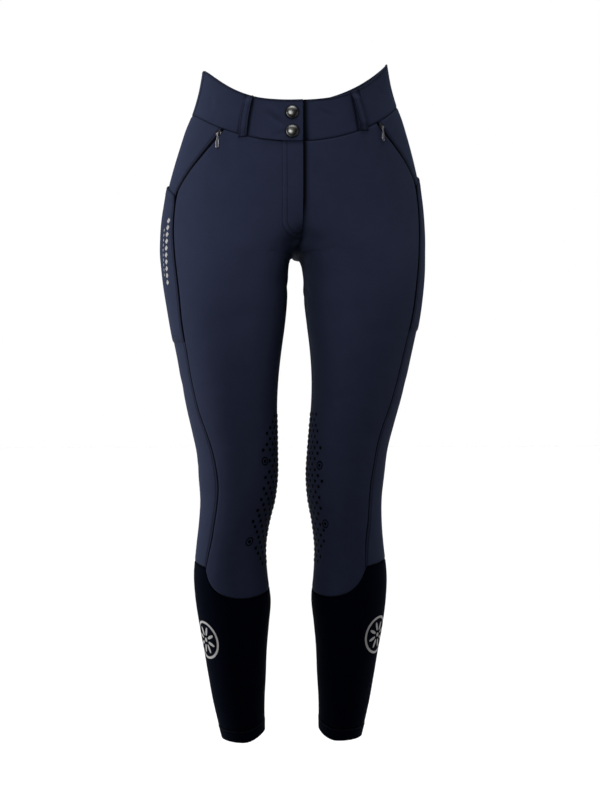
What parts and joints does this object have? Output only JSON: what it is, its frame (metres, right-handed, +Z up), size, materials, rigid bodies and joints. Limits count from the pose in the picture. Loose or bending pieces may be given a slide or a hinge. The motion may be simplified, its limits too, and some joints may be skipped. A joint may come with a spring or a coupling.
{
  "type": "riding breeches",
  "caption": "Women's riding breeches in stretch cloth with elastic socks, snap waistband, belt loops, slash zip pockets and phone pockets, open at waist and hems.",
  "frame": {"origin": "centre of the waist opening, level with the waistband's top edge at centre front", "axes": "+Z up along the body, +X to the wearer's left, -Y to the front"},
  "size_m": [0.3863, 0.2442, 0.9773],
  "materials": {
    "navy_stretch_cloth": "matte",
    "black_navy_elastic": "matte",
    "zip_tape_and_coil": "satin",
    "gunmetal_plated_brass": "polished"
  },
  "bodies": {
    "garment": {"front_right": "navy_stretch_cloth", "back_right": "navy_stretch_cloth", "side_panel_right": "navy_stretch_cloth", "phone_pocket_right": "navy_stretch_cloth", "sock_right": "black_navy_elastic", "pocket_zip_right": "zip_tape_and_coil", "zip_slider_right": "gunmetal_plated_brass", "front_left": "navy_stretch_cloth", "back_left": "navy_stretch_cloth", "side_panel_left": "navy_stretch_cloth", "phone_pocket_left": "navy_stretch_cloth", "sock_left": "black_navy_elastic", "pocket_zip_left": "zip_tape_and_coil", "zip_slider_left": "gunmetal_plated_brass", "waistband_front_right": "navy_stretch_cloth", "waistband_front_left": "navy_stretch_cloth", "waistband_back": "navy_stretch_cloth", "fly_placket": "navy_stretch_cloth", "belt_loop_front_right": "navy_stretch_cloth", "belt_loop_front_left": "navy_stretch_cloth", "belt_loop_back_right": "navy_stretch_cloth", "belt_loop_back_left": "navy_stretch_cloth", "belt_loop_back_centre": "navy_stretch_cloth", "snap_top": "gunmetal_plated_brass", "snap_bottom": "gunmetal_plated_brass"},
    "zip_pull_right": {"zip_pull_right": "gunmetal_plated_brass"},
    "zip_pull_left": {"zip_pull_left": "gunmetal_plated_brass"}
  },
  "joints": [
    {"name": "zip_pull_swing_right", "type": "hinge", "parent": "garment", "child": "zip_pull_right", "pos_m": [-0.1157, -0.0741, -0.0446], "axis": [-0.8175, 0.5759, 0], "range_deg": [0, 150]},
    {"name": "zip_pull_swing_left", "type": "hinge", "parent": "garment", "child": "zip_pull_left", "pos_m": [0.1157, -0.0741, -0.0309], "axis": [-0.8258, -0.564, 0], "range_deg": [0, 150]}
  ]
}
